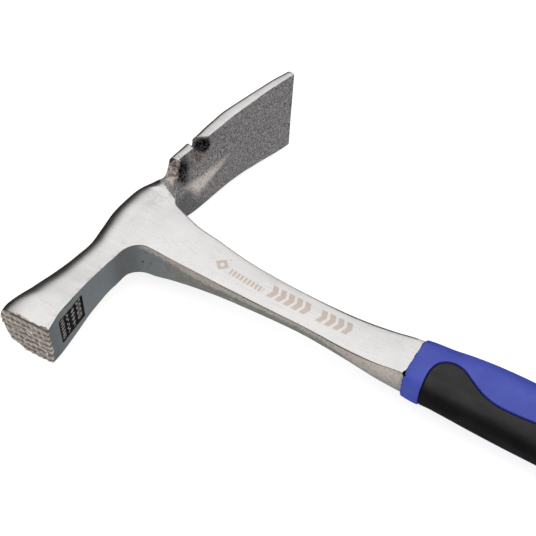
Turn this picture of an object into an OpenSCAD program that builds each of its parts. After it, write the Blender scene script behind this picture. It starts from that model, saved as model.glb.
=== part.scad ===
// One-piece forged brick hammer with a two-material grip, in millimetres.
// The hammer lies on its side: +X runs along the handle to the butt, +Y from the
// striking face to the blade, and +Z out of the upper cheek.
// The stations below are written about the crossing of the head's and the handle's
// centre lines; the last transform puts the origin under the middle of the object.

/* [Striking part] */
// Handle centre line to the striking face
face_reach = 73; // [66:0.5:84]
// Height of the striking face, along the handle
face_height = 28; // [24:0.5:32]
// Width of the striking face, from cheek to cheek
face_width = 21; // [18:0.5:25]
// Rows of teeth across the face
waffle_rows = 6; // [4:1:8]
// Teeth in each row
waffle_columns = 8; // [5:1:10]
// Depth of the grooves between the teeth
waffle_depth = 1.1; // [0.6:0.1:1.6]
// Length of the recessed stamp on the underside
stamp_length = 17; // [12:0.5:18]
// Width of the recessed stamp
stamp_width = 14.4; // [10:0.2:16]
// Depth of the recessed stamp
stamp_depth = 0.6; // [0.3:0.1:1]

/* [Blade] */
// Handle centre line to the cutting edge
blade_reach = 114; // [104:0.5:124]
// Width of the cutting edge
blade_width = 45.6; // [40:0.2:52]
// Diameter of the nail notch's round eye
notch_d = 9.4; // [7:0.2:10]
// Width of the slot that opens the eye to the blade's side
notch_mouth = 2.6; // [2:0.2:4]
// Handle centre line to the middle of the eye
notch_y = 48.2; // [46:0.2:56]
// Blade's middle to the middle of the eye
notch_z = 16.6; // [15:0.2:17]

/* [Shank and tang] */
// Scale of the shank's thickness
shank_swell = 1; // [0.9:0.05:1.15]
// Thickness of the tang inside the grip
tang_thick = 7; // [5:0.5:8]
// Depth of the tang at the collar
tang_depth = 16; // [12:0.5:18]
// Length of the tang inside the grip
tang_length = 98; // [80:1:100]
// Diameter of the keying holes through the tang
key_hole_d = 6.5; // [4:0.5:8]
// Number of keying holes
key_holes = 3; // [1:1:4]

/* [Grip] */
// Head centre line to the collar's mouth
grip_start = 141; // [136:0.5:146]
// Length of the grip from the collar's mouth to the butt
grip_length = 125; // [120:1:140]
// Length of the plain collar ahead of the cushion
collar_length = 8; // [6:0.5:12]
// Thickness of the soft cushion over the hard core
cushion_wall = 3; // [2:0.2:3.4]
// How far the collar and the spine stand proud of the cushion
cushion_step = 0.4; // [0.2:0.1:0.8]
// Diameter of the hanging hole
hang_hole_d = 7; // [5:0.5:9]
// Straight length of the hanging hole's wall
hang_wall = 20; // [16:1:22]

/* [Hidden] */
$fn = 48;
// How far a cutting shape reaches past the surface that it cuts
eps = 0.01;

// Points round a section of the striking part, across a cheek and round the grip
head_sides = 44;
cheek_steps = 8;
grip_sides = 32;

// Sizes that the tables of stations below are written for; the driving dimensions scale them
table_face_reach = 73;
table_face_height = 28;
table_face_width = 21;
table_blade_reach = 114;
table_blade_width = 45.6;
table_grip_length = 125;

// Striking part, neck, crown and blade rib, from the face (negative Y) to the rib's tip:
// Y, back X, underside X, half width, roundness of the back, squareness of the underside
neck = [
    [-73, -15.0, 11.7, 10.2, 3.0, 9],
    [-68, -15.6, 11.0, 11.1, 2.7, 9],
    [-62, -15.0, 10.0, 11.7, 2.4, 10],
    [-55, -13.6, 9.3, 11.2, 2.3, 12],
    [-48, -12.4, 8.6, 10.5, 2.2, 12],
    [-40, -11.0, 8.1, 9.7, 2.15, 12],
    [-30, -9.7, 7.9, 8.9, 2.15, 12],
    [-20, -9.0, 8.0, 8.6, 2.15, 12],
    [-10, -10.6, 8.3, 9.3, 2.2, 12],
    [0, -12.5, 8.6, 9.9, 2.25, 10],
    [10, -12.5, 8.8, 10.1, 2.25, 7],
    [18, -11.6, 9.0, 10.0, 2.3, 5],
    [25, -9.0, 8.8, 9.6, 2.2, 3],
    [34, -5.4, 8.4, 8.8, 2.2, 2.6],
    [46, -2.6, 8.2, 7.0, 2, 2.2],
    [58, -0.6, 7.9, 4.6, 2, 2],
    [68, 1.6, 7.1, 1.8, 2, 2]
];
// Where a section is widest, as a part of the way from its back to its underside
neck_middle = 0.6;

// Blade, from the tooth beside the notch to the cutting edge:
// Y, back X, front X, half width
blade = [
    [31.5, -2.2, 3.4, 20.0],
    [36, -1.8, 3.6, 20.3],
    [48, -0.8, 5.0, 20.3],
    [60, -0.4, 6.2, 20.3],
    [72, 0.7, 7.6, 20.7],
    [84, 3.5, 9.9, 21.4],
    [96, 6.8, 12.5, 22.2],
    [106, 9.5, 15.0, 22.6],
    [112, 11.6, 16.2, 22.8],
    [114, 13.4, 16.3, 22.5]
];
// Shoulder that swells from the neck into the blade: its first Y and its half width there
shoulder_start = 22.5;
shoulder_half = 9.4;
shoulder_steps = 6;
// Radii of the blade's long edges, on its rounded back and on its crisp front
edge_round = 2.2;
edge_break = 0.5;

// Shank with its fillets into the head:
// X, Y of the striking side, Y of the blade side, half thickness at the edge, crown
shank = [
    [-2, -16, 16, 8.4, 1.0],
    [4, -19, 19, 8.8, 1.2],
    [8.6, -20.8, 21.6, 8.7, 1.2],
    [9.8, -17.4, 19.4, 9.2, 0.9],
    [11.4, -14.8, 17.2, 9.9, 0.3],
    [13, -13.4, 15.9, 10.1, 0.2],
    [18.5, -12.0, 13.8, 9.1, 0.4],
    [28, -10.8, 11.9, 7.2, 0.7],
    [40, -9.9, 10.7, 5.6, 1.1],
    [55, -9.2, 9.0, 4.1, 1.4],
    [75, -8.7, 7.8, 3.1, 1.5],
    [95, -8.6, 7.7, 2.9, 1.5],
    [115, -9.6, 8.5, 3.4, 1.4],
    [128, -10.2, 9.2, 4.9, 1.1],
    [138, -9.8, 10.2, 6.3, 0.8],
    [147, -9.4, 10.4, 6.6, 0.6]
];
// Stations of the shank end here, inside the tang
shank_end = 147;
// Swelling of the shank's narrow sides, and the roll of a cheek into the blade side
edge_bulge = 0.5;
shank_roll = 1.2;

// Grip, from the collar's mouth: distance, striking side Y, blade side Y, half thickness
grip = [
    [0, -12.3, 12.4, 9.8],
    [4, -12.8, 12.7, 10.0],
    [7.3, -13.0, 13.0, 10.2],
    [19, -13.3, 14.9, 10.9],
    [31, -13.7, 15.9, 11.4],
    [45, -14.0, 16.1, 11.6],
    [63, -14.1, 15.4, 11.5],
    [81, -14.4, 15.2, 11.6],
    [97, -15.6, 15.9, 12.3],
    [111, -17.2, 16.8, 13.0],
    [125, -17.6, 17.0, 13.2]
];
// Exponent of the grip's oval sections
grip_roundness = 2.4;
// Length of the rounding at the butt, and how far round it the last section lies
butt_round = 9;
butt_turn = 75;
// Height of a block that is surely thicker than the grip
past_grip = 60;

// Upper border of the cushion on each cheek: distance from the collar's end, Y
cushion_border = [
    [0, -22], [0, -12], [0, -5], [1.4, -0.5], [4.2, 2.1], [7.5, 2.9], [12, 1.9],
    [17.5, -1.7], [23, -4.7], [30, -6.3], [40, -6.2], [52, -5.2], [63, -5.8],
    [71, -4.4], [77, -1.4], [82, 0.2], [86, -1.4], [88.4, -6], [89, -12], [89, -22]
];

// Hanging hole: distance from the butt, and depth of the flare outside its straight wall
hang_from_butt = 14;
hang_flare = 8;
// Gap round the shank in the collar's mouth, and its depth
mouth_gap = 0.8;
mouth_depth = 2.5;
// Tang: where it leaves the shank, how much taller it is on the blade side there, its
// depth at the tip and the bevel of the tip's corners
tang_start = 143;
tang_rise = 1;
tang_tip_depth = 11;
tang_bevel = 4;
// Nail notch: the eye between these X, its taper, and how far the slot lies off its middle
notch_back = -3;
notch_front = 8;
notch_back_scale = 0.62;
notch_front_scale = 1.12;
notch_offset = 0.36;
// Shift of the teeth along the face
waffle_shift = -2;

// Middle of the whole object, which becomes the origin
object_low_x = neck[1][1] * face_height / table_face_height;
object_high_x = grip_start + grip_length;
middle = [(object_low_x + object_high_x) / 2, (blade_reach - face_reach) / 2, -blade_width / 2];

// Smooth reading of a table of stations: column c at position s
function slope(t, i, c) =
    let (a = max(i - 1, 0), b = min(i + 1, len(t) - 1))
    (t[b][c] - t[a][c]) / (t[b][0] - t[a][0]);
function cell(t, s, i = 0) = i >= len(t) - 2 || s <= t[i + 1][0] ? i : cell(t, s, i + 1);
function at(t, s, c) =
    let (i = cell(t, s), h = t[i + 1][0] - t[i][0], u = (s - t[i][0]) / h)
    (2 * u * u * u - 3 * u * u + 1) * t[i][c]
    + (u * u * u - 2 * u * u + u) * h * slope(t, i, c)
    + (3 * u * u - 2 * u * u * u) * t[i + 1][c]
    + (u * u * u - u * u) * h * slope(t, i + 1, c);
// Positions that divide every gap between stations into steps
function positions(t, steps) =
    [for (i = [0 : len(t) - 2], k = [0 : steps - 1])
        t[i][0] + (t[i + 1][0] - t[i][0]) * k / steps, t[len(t) - 1][0]];
// Smooth curve through a list of points in the plane
function curve(p, steps) =
    [for (i = [0 : len(p) - 2], k = [0 : steps - 1])
        let (u = k / steps, a = p[max(i - 1, 0)], b = p[i], c = p[i + 1],
            d = p[min(i + 2, len(p) - 1)])
        0.5 * (2 * b + (c - a) * u + (2 * a - 5 * b + 4 * c - d) * u * u
            + (3 * b - a - 3 * c + d) * u * u * u), p[len(p) - 1]];
function power(v, n) = sign(v) * pow(abs(v), 2 / n);

// Twice the area of a ring, as a vector along its normal
function turn(ring) =
    let (n = len(ring), sums = [for (i = 0, v = [0, 0, 0]; i <= n;
        v = i < n ? v + cross(ring[i] - ring[0], ring[(i + 1) % n] - ring[0]) : v, i = i + 1) v])
    sums[n];

// Solid through a list of closed rings with equally many points, its faces turned outward
module loft(rings) {
    n = len(rings[0]);
    last = (len(rings) - 1) * n;
    outward = turn(rings[0]) * (rings[1][0] - rings[0][0]) < 0;
    faces = concat(
        [[for (i = [0 : n - 1]) n - 1 - i]],
        [for (j = [0 : len(rings) - 2], i = [0 : n - 1])
            each let (a = j * n + i, b = j * n + (i + 1) % n)
            [[a, b, b + n], [a, b + n, a + n]]],
        [[for (i = [0 : n - 1]) last + i]]);
    polyhedron(
        points = [for (ring = rings) each ring],
        faces = outward ? faces : [for (f = faces) [for (i = [len(f) - 1 : -1 : 0]) f[i]]],
        convexity = 8);
}

// Section of the striking part, neck and rib at Y
function neck_ring(y) =
    let (back = at(neck, y, 1) * face_height / table_face_height, under = at(neck, y, 2),
        half = at(neck, y, 3) * face_width / table_face_width,
        middle_x = back + (under - back) * neck_middle)
    [for (k = [0 : head_sides - 1])
        let (a = 360 * k / head_sides, up = sin(a) >= 0, n = at(neck, y, up ? 5 : 4))
        [middle_x + power(sin(a), n) * (up ? under - middle_x : middle_x - back),
            y < 0 ? y * face_reach / table_face_reach : y, half * power(cos(a), n)]];

// Section of the blade at Y: rounded on the back, nearly sharp on the front
function blade_ring(y) =
    let (tooth = blade[0][0], s = max(y, tooth),
        t = 1 - cos(90 * (y - shoulder_start) / (tooth - shoulder_start)),
        back = at(blade, s, 1), front = at(blade, s, 2),
        root = at(blade, s, 3) * blade_width / table_blade_width,
        half = y < tooth ? shoulder_half + (root - shoulder_half) * t : root,
        r = min(edge_round, (front - back) * 0.45), q = min(edge_break, (front - back) * 0.3),
        stretch = (blade_reach - tooth) / (table_blade_reach - tooth),
        out = y < tooth ? y : tooth + (y - tooth) * stretch,
        corner = function (x, z, r, from)
            [for (k = [0 : 3]) [x + r * cos(from + 30 * k), out, z + r * sin(from + 30 * k)]])
    concat(corner(front - q, half - q, q, 0), corner(back + r, half - r, r, 90),
        corner(back + r, r - half, r, 180), corner(front - q, q - half, q, 270));

// Section of the shank at X: crowned cheeks, a sharp striking side and a rolled blade side
function shank_ring(x, gap = 0) =
    let (low = at(shank, x, 1) - gap, high = at(shank, x, 2) + gap,
        h = at(shank, x, 3) * shank_swell + gap, crown = at(shank, x, 4),
        cheek = [for (k = [0 : cheek_steps])
            let (v = 2 * k / cheek_steps - 1)
            [v, h + crown * (1 - v * v) - shank_roll * pow(max(v, 0), 6)]],
        spot = function (v, z) [x, low + (high - low) * (v + 1) / 2, z])
    concat([for (c = cheek) spot(c[0], -c[1])], [[x, high + edge_bulge, 0]],
        [for (k = [cheek_steps : -1 : 0]) spot(cheek[k][0], cheek[k][1])],
        [[x, low - edge_bulge, 0]]);

// Section of the grip at X, drawn in by inset, with a rounded butt
function grip_ring(x, inset = 0) =
    let (d = x - grip_start, s = d * table_grip_length / grip_length,
        low = at(grip, s, 1) + inset, high = at(grip, s, 2) - inset, half = at(grip, s, 3) - inset,
        u = max(d - grip_length + butt_round, 0) / butt_round,
        shrink = sqrt(1 - pow(u * sin(butt_turn), 2)))
    [for (k = [0 : grip_sides - 1])
        let (a = 360 * k / grip_sides)
        [x, (low + high) / 2 + shrink * (high - low) / 2 * power(cos(a), grip_roundness),
            shrink * half * power(sin(a), grip_roundness)]];

module grip_body(inset = 0) {
    straight = positions([for (g = grip) if (g[0] < grip_length - butt_round) g], 2);
    loft(concat(
        [for (d = straight) grip_ring(grip_start + d, inset)],
        [for (a = [0 : butt_turn / 5 : butt_turn]) grip_ring(grip_start + grip_length - butt_round
            + (butt_round - inset) * sin(a) / sin(butt_turn), inset)]));
}

// Two families of V grooves across the striking face
module tooth_groove(length) {
    linear_extrude(2 * length, center = true)
        polygon([[-waffle_depth, -eps], [waffle_depth, -eps], [0, waffle_depth]]);
}

module teeth_grooves() {
    row = face_width / waffle_rows;
    column = face_height / waffle_columns;
    for (k = [0.5 : waffle_rows]) {
        translate([0, -face_reach, (k - waffle_rows / 2) * row])
            rotate([0, 90, 0])
            tooth_groove(face_height);
    }
    for (k = [0.5 : waffle_columns]) {
        translate([(k - waffle_columns / 2) * column + waffle_shift, -face_reach, 0])
            tooth_groove(face_width);
    }
}

// Shallow recess for a maker's stamp in the underside of the striking part
module stamp_panel() {
    near = neck[4];
    far = neck[2];
    tilt = atan((far[2] - near[2]) / (near[0] - far[0]));
    translate([(near[2] + far[2]) / 2, (near[0] + far[0]) / 2, 0])
        rotate([0, 0, tilt])
        translate([-stamp_depth, -stamp_length / 2, -stamp_width / 2])
        cube([4 * stamp_depth, stamp_length, stamp_width]);
}

// Keyhole for pulling nails: a tapered eye, a slot out to the blade's side and a
// pointed throat towards the middle of the blade
module nail_notch() {
    translate([notch_back, notch_y, notch_z])
        rotate([0, 90, 0])
        cylinder(h = notch_front - notch_back, d1 = notch_d * notch_back_scale,
            d2 = notch_d * notch_front_scale);
    translate([2 * notch_back, notch_y - notch_d * notch_offset, notch_z])
        cube([3 * notch_front, notch_mouth, notch_d]);
    translate([0, notch_y, notch_z])
        rotate([0, 90, 0])
        linear_extrude(4 * notch_front, center = true)
        polygon([[0, -notch_d * 0.34], [notch_d * 0.6, -notch_d * 0.38],
            [notch_d * 0.5, notch_d * 0.2], [0, notch_d * 0.34]]);
}

// Flat tang inside the grip, with holes that key the moulded core to it
module tang() {
    far = tang_start + tang_length;
    tip = tang_tip_depth / 2;
    difference() {
        translate([0, 0, -tang_thick / 2])
            linear_extrude(tang_thick)
            polygon([[tang_start, -tang_depth / 2], [far - tang_bevel, -tip],
                [far, tang_bevel - tip], [far, tip - tang_bevel],
                [far - tang_bevel, tip], [tang_start, tang_depth / 2 + tang_rise]]);
        for (k = [1 : key_holes]) {
            translate([tang_start + tang_length * k / (key_holes + 1), 0, 0])
                cylinder(h = 2 * tang_thick, d = key_hole_d, center = true);
        }
    }
}

// Shank between two X, grown by gap where it serves as a cutting shape
module shank_solid(gap = 0, from = shank[0][0], to = shank_end) {
    inside = [for (x = positions(shank, 2)) if (x > from && x < to) x];
    loft([for (x = concat([from], inside, [to])) shank_ring(x, gap)]);
}

// Striking part, crown and blade with their cuts
module head_solid() {
    shoulder = [for (k = [0 : shoulder_steps - 1])
        shoulder_start + (blade[0][0] - shoulder_start) * k / shoulder_steps];
    difference() {
        union() {
            loft([for (y = positions(neck, 2)) neck_ring(y)]);
            loft([for (y = concat(shoulder, positions(blade, 2))) blade_ring(y)]);
        }
        nail_notch();
        teeth_grooves();
        stamp_panel();
    }
}

// One forging: head, shank and tang
module forged_body() {
    color("lightgray") place() union() {
        head_solid();
        shank_solid();
        tang();
    }
}

// Everything on the striking side of the border, which the cushion may fill
module cushion_zone() {
    translate([grip_start + collar_length, 0, 0])
        linear_extrude(past_grip, center = true)
        polygon(curve(cushion_border, 4));
}

// Hole through the butt, with a straight wall and a flare at each end
module hanging_hole() {
    translate([grip_start + grip_length - hang_from_butt, 0, 0]) {
        cylinder(h = past_grip, d = hang_hole_d, center = true);
        for (side = [0, 1]) mirror([0, 0, side])
            translate([0, 0, hang_wall / 2])
            cylinder(h = hang_flare, d1 = hang_hole_d, d2 = hang_hole_d + 2 * hang_flare);
    }
}

// Hard moulded core: collar, spine and butt, with a seat for the cushion
module grip_core() {
    color("royalblue") place() difference() {
        grip_body();
        difference() {
            cushion_zone();
            grip_body(cushion_wall);
        }
        tang();
        shank_solid(0, grip_start - 1, shank_end);
        shank_solid(mouth_gap, grip_start - 1, grip_start + mouth_depth);
        hanging_hole();
    }
}

// Soft cushion that lies in the core's seat
module grip_cushion() {
    color("dimgray") place() difference() {
        intersection() {
            grip_body(cushion_step);
            cushion_zone();
        }
        grip_body(cushion_wall);
    }
}

// Puts the origin under the middle of the whole object
module place() {
    translate(-middle) children();
}

forged_body();
grip_core();
grip_cushion();
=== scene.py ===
# Brick hammer: one forging with a two-material grip, lying on its side on a pale studio floor.
# The shapes are written as signed distances in millimetres, about the crossing of the head's and
# the handle's centre lines (+X to the butt, +Y to the blade, +Z out of the upper cheek), and are
# meshed into the row frame in metres.
import math

import bpy
import numpy as np
from mathutils import Matrix, Vector


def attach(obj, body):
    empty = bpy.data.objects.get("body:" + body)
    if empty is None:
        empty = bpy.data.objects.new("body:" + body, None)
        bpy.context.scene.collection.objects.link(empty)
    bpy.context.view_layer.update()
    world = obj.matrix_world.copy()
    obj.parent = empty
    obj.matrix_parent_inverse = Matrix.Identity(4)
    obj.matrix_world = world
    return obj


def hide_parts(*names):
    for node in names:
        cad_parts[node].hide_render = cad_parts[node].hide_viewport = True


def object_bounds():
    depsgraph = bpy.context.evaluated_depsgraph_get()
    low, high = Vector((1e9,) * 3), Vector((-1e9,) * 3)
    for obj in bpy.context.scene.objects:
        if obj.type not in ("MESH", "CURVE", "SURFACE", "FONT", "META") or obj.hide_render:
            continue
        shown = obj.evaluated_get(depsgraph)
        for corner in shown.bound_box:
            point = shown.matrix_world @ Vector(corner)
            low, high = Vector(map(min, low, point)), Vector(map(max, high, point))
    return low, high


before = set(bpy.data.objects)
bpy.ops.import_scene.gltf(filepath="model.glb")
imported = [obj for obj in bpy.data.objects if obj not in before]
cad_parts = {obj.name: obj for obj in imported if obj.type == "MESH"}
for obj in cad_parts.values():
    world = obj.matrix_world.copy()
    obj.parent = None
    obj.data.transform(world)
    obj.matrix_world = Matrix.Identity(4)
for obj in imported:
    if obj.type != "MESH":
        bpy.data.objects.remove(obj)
cad_low, cad_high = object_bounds()

MM = 0.001
FACE_REACH = 73.0
BACK_REACH = 15.6
# The crossing of the centre lines in the row frame, from the CAD model's own box
ORIGIN = np.array([
    cad_low[0] + BACK_REACH * MM,
    cad_low[1] + FACE_REACH * MM,
    (cad_low[2] + cad_high[2]) / 2,
])

# ---------------------------------------------------------------- stations, in millimetres
# Striking part, neck, crown and blade rib:
# Y, back X, underside X, half width, roundness of the back, squareness of the underside
NECK = [
    (-73, -15.0, 11.7, 10.2, 3.1, 9), (-68, -15.7, 11.0, 11.1, 2.9, 9),
    (-62, -15.1, 10.0, 11.7, 2.45, 10), (-55, -13.7, 9.3, 11.2, 2.25, 12),
    (-48, -12.5, 8.6, 10.5, 2.15, 12), (-40, -11.2, 8.1, 9.7, 2.1, 12),
    (-30, -10.0, 7.9, 8.9, 2.1, 12), (-20, -9.4, 8.2, 8.6, 2.1, 12),
    (-10, -11.0, 8.4, 9.3, 2.15, 12), (0, -12.5, 8.6, 9.9, 2.25, 10),
    (10, -12.5, 8.8, 10.1, 2.25, 7), (18, -11.6, 9.0, 10.0, 2.3, 5),
    (25, -9.0, 8.8, 9.6, 2.2, 2.6), (34, -5.4, 8.4, 9.4, 2.2, 1.9),
    (46, -2.6, 8.4, 8.0, 2, 1.6), (58, -0.6, 8.2, 6.0, 2, 1.6), (70, 1.8, 7.3, 3.0, 2, 1.6),
]
NECK_MIDDLE = 0.6
NECK_EDGE = 0.7
# The striking part flares from FLARE_START to the face, where its lower half is fuller and askew
FLARE_START = -50
LOWER_SKEW = 0.20
FACE_BELLY = 1.4

# Blade: Y, back X, front X, half width
BLADE = [
    (31.5, -2.2, 3.4, 20.0), (36, -1.8, 3.6, 20.3), (48, -0.8, 5.0, 20.3),
    (60, -0.4, 6.2, 20.3), (72, 0.7, 7.6, 20.7), (84, 3.5, 9.9, 21.4),
    (96, 6.8, 12.5, 22.2), (106, 9.5, 15.0, 22.6), (114, 12.2, 16.8, 22.6),
]
# The cutting edge is cut square to the curved blade: a point of its plane and the plane's direction
EDGE_X, EDGE_Y = 12.2, 113.4
EDGE_ALONG_X, EDGE_ALONG_Y, EDGE_ALONG_Z = 0.29, 0.957, -0.035
TIP_CORNER = 0.8
BACK_ROLL = 3.4
TOOTH_Y = 31.5
SHOULDER_Y = 21.5
SHOULDER_HALF = 9.4

# Shank: X, Y of the striking side, Y of the blade side, half thickness at the edge, crown
SHANK = [
    (2, -12.2, 20.5, 8.8, 0.1), (8.6, -12.2, 21.6, 9.0, 0.1),
    (9.8, -12.1, 19.4, 9.4, 0.1), (11.4, -12.0, 17.2, 9.8, 0.1), (13, -11.9, 15.9, 9.9, 0.1),
    (18.5, -11.5, 13.8, 9.0, 0.4), (28, -10.7, 11.9, 7.2, 0.7), (40, -9.9, 10.7, 5.6, 1.1),
    (55, -9.2, 9.0, 4.1, 1.4), (75, -8.7, 7.8, 3.1, 1.5), (95, -8.6, 7.7, 2.9, 1.5),
    (115, -9.6, 8.5, 3.4, 1.4), (128, -10.2, 9.2, 4.9, 1.1), (138, -9.8, 10.2, 6.3, 0.8),
    (147, -9.4, 10.4, 6.6, 0.6),
]
SHANK_ROLL = 0.30
CROWN_FLATTEN = 0.62
SIDE_DRAFT = 0.13
HEAD_FILLET = 8.0
DRIFT_STEP = 0.25

# Grip: X from the collar's mouth, Y of the striking side, Y of the blade side, half thickness
GRIP = [
    (0, -12.3, 11.8, 9.8), (4, -12.8, 12.5, 10.0), (7.3, -13.0, 13.0, 10.2),
    (19, -13.3, 14.9, 10.9), (31, -13.7, 15.9, 11.4), (45, -14.0, 16.1, 11.6),
    (63, -14.1, 15.4, 11.5), (81, -14.4, 15.2, 11.6), (97, -15.6, 15.9, 12.3),
    (111, -17.2, 16.8, 13.0), (125, -17.6, 17.0, 13.2),
]
GRIP_START = 141.0
GRIP_LENGTH = 125.0
GRIP_ROUNDNESS = 2.4
BUTT_ROUND, MOUTH_ROUND = 9.0, 0.7
COLLAR_LENGTH = 8.0
CUSHION_WALL = 3.0
CUSHION_STEP = 0.4
# Upper border of the cushion on each cheek: X from the collar's end, Y
CUSHION_BORDER = [
    (0, -22), (0, -12), (0, -5), (1.4, -0.5), (4.2, 2.1), (7.5, 2.9), (12, 1.9), (17.5, -1.7),
    (23, -4.7), (30, -6.3), (40, -6.2), (52, -5.2), (63, -5.8), (71, -4.4), (77, -1.4),
    (82, 0.2), (86, -1.4), (88.4, -6), (89, -12), (89, -22),
]
HANG_X = GRIP_START + GRIP_LENGTH - 14
HANG_RADIUS = 3.5
HANG_WALL = 20.0
TANG_GAP = 0.05
CUSHION_GAP = 0.12

# ---------------------------------------------------------------- distances


def read(table, s):
    """Smooth reading of a table of stations at the positions s: one array for each column."""
    table = np.asarray(table, float)
    key = table[:, 0]
    last = len(key) - 1
    near = np.clip(np.arange(last + 1) - 1, 0, last)
    far = np.clip(np.arange(last + 1) + 1, 0, last)
    slope = (table[far] - table[near]) / (key[far] - key[near])[:, None]
    i = np.clip(np.searchsorted(key, s, side="right") - 1, 0, last - 1)
    h = key[i + 1] - key[i]
    u = np.clip((s - key[i]) / h, 0, 1)
    a, b = 2 * u**3 - 3 * u**2 + 1, (u**3 - 2 * u**2 + u) * h
    c, d = 3 * u**2 - 2 * u**3, (u**3 - u**2) * h
    return [
        a * table[i, k] + b * slope[i, k] + c * table[i + 1, k] + d * slope[i + 1, k]
        for k in range(1, table.shape[1])
    ]


def ramp(low, high, v):
    """0 below low, 1 above high, and smooth between them."""
    t = np.clip((v - low) / (high - low), 0, 1)
    return t * t * (3 - 2 * t)


def melt(a, b, k):
    """Union of two distances with a soft fillet about k wide."""
    h = np.clip(0.5 + 0.5 * (b - a) / k, 0, 1)
    return b + (a - b) * h - k * h * (1 - h)


def carve(a, cut, k=0.05):
    """Takes the inside of cut out of a, with the rim rounded by k."""
    return -melt(-a, cut, k)


def corner(a, b, r):
    """Intersection of two distances with their common edge rounded to the radius r."""
    inside = np.minimum(-r, np.maximum(a, b))
    return inside + np.hypot(np.maximum(a + r, 0), np.maximum(b + r, 0))


def fillet(a, b, r):
    """Union of two distances with a round fillet of the radius r in their inner corner."""
    return np.maximum(r, np.minimum(a, b)) - np.hypot(np.maximum(r - a, 0), np.maximum(r - b, 0))


def oval(a, b, half_a, half_b, n):
    """Distance to a superellipse with the exponent n."""
    p, q = np.abs(a) / half_a, np.abs(b) / half_b
    big = np.maximum(np.maximum(p, q), 1e-6)
    radius = big * ((p / big) ** n + (q / big) ** n) ** (1 / n)
    steep = np.hypot((p / radius) ** (n - 1) / half_a, (q / radius) ** (n - 1) / half_b)
    return (radius - 1) / steep


def wobble(x, y, z, size, seed, octaves=3):
    """Soft seeded unevenness between about -1 and 1, with features about size long."""
    rng = np.random.default_rng(seed)
    total, weight = 0.0, 0.0
    for octave in range(octaves):
        for _ in range(4):
            d = rng.normal(size=3)
            d /= np.linalg.norm(d)
            f = 2 * math.pi / (size * rng.uniform(0.8, 1.3)) * 2**octave
            along = d[0] * x + d[1] * y + d[2] * z
            total = total + np.sin(f * along + rng.uniform(0, 6.28)) / 2**octave
            weight += 0.55 / 2**octave
    return total / weight


def near_pitch(v, pitch):
    """Distance from v to the nearest multiple of pitch."""
    return np.abs((v / pitch + 0.5) % 1 - 0.5) * pitch


# ---------------------------------------------------------------- forging: head
ROW_PITCH = 3.2
TOOTH_PITCH = 2.15
GROOVE_DEPTH = 1.0


def face_depth(x, z):
    """How far the waffle lies behind the plane of the striking face."""
    warp = wobble(x, 0 * x, z, 7.0, 8, 2)
    height = z + 0.4 * warp - 0.06 * x
    row = near_pitch(height, ROW_PITCH)
    slant = x * 0.72 + z * 0.69 + 0.35 * warp
    tooth = near_pitch(slant, TOOTH_PITCH)
    long_groove = GROOVE_DEPTH * np.clip(1.1 - row / 0.8, 0, 1)
    short_groove = 0.55 * GROOVE_DEPTH * np.clip(1.1 - tooth / 0.95, 0, 1)
    worn = 0.2 * (1 + wobble(x, 0 * x, z, 2.6, 5))
    return np.maximum(long_groove, short_groove) + worn


def neck_field(x, y, z):
    """Striking part, neck and crown: an oval back, and a front that is squared up to the crown."""
    back, under, half, round_back, square = read(NECK, y)
    middle = back + (under - back) * NECK_MIDDLE
    flared = ramp(FLARE_START, -FACE_REACH, y)
    round_back = round_back + 3.0 * flared * ramp(2, -8, z)
    skew = LOWER_SKEW * flared * np.minimum(z - 7, 0)
    across = x - middle + skew * np.clip((middle - x) / 12, 0, 1)
    belly = half + FACE_BELLY * flared * np.clip(1 - (across / 11) ** 2, 0, 1) * ramp(0, -6, z)
    rear = oval(across, z, middle - back, belly, round_back)
    soft = oval(across, z, under - middle, half, square)
    crisp = corner(x - under, np.abs(z) - belly, NECK_EDGE)
    front = crisp + (soft - crisp) * ramp(-4, 16, y)
    body = np.where(across > 0, front, rear)
    return np.maximum(body, y - NECK[-1][0])


STAMP_LENGTH = 17.0
STAMP_WIDTH = 14.4
STAMP_DEPTH = 0.65
STAMP_CORNER = 1.3
STAMP_Y = -55.5


def stamp_marks(u, w):
    """Distance to the raised marks: rows of plain bars, a zigzag, lozenges and hollow blocks."""
    w = w + 0.25 * np.sin(1.7 * u)
    bars = np.maximum(np.abs(u + 6.0) - 1.15, near_pitch(w, 1.9) - 0.5)
    zigzag = np.abs(u + 2.6 - (near_pitch(w, 3.0) - 0.75) * 0.9) - 0.36
    lozenges = near_pitch(w + 1.2, 2.5) / 0.95 + np.abs(u - 1.2) / 1.5 - 1
    blocks = np.maximum(np.abs(u - 5.6) - 1.5, near_pitch(w + 1.0, 3.1) - 1.05)
    blocks = np.maximum(blocks, 0.42 - np.maximum(np.abs(u - 5.6) - 0.3, near_pitch(w + 1.0, 3.1)))
    inner = np.abs(w) - STAMP_WIDTH / 2 + 1.3
    rows = np.minimum(np.minimum(bars, zigzag), np.minimum(lozenges, blocks))
    return np.maximum(rows, inner)


def stamp_place(x, y, z):
    """Position along the stamp, across it, and depth below the underside."""
    under = read(NECK, y)[1]
    return y - STAMP_Y, z, under - x


def stamp_cut(x, y, z):
    """Shallow panel cut into the underside, with its marks left standing."""
    u, w, depth = stamp_place(x, y, z)
    bare = 0.42 * STAMP_DEPTH * ramp(0.25, -0.2, stamp_marks(u, w))
    outline = corner(np.abs(u) - STAMP_LENGTH / 2, np.abs(w) - STAMP_WIDTH / 2, STAMP_CORNER)
    return np.maximum(outline, depth - STAMP_DEPTH + bare)


NOTCH_Z = 15.8
NOTCH_BACK, NOTCH_DEEP = -0.8, 6.0


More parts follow.
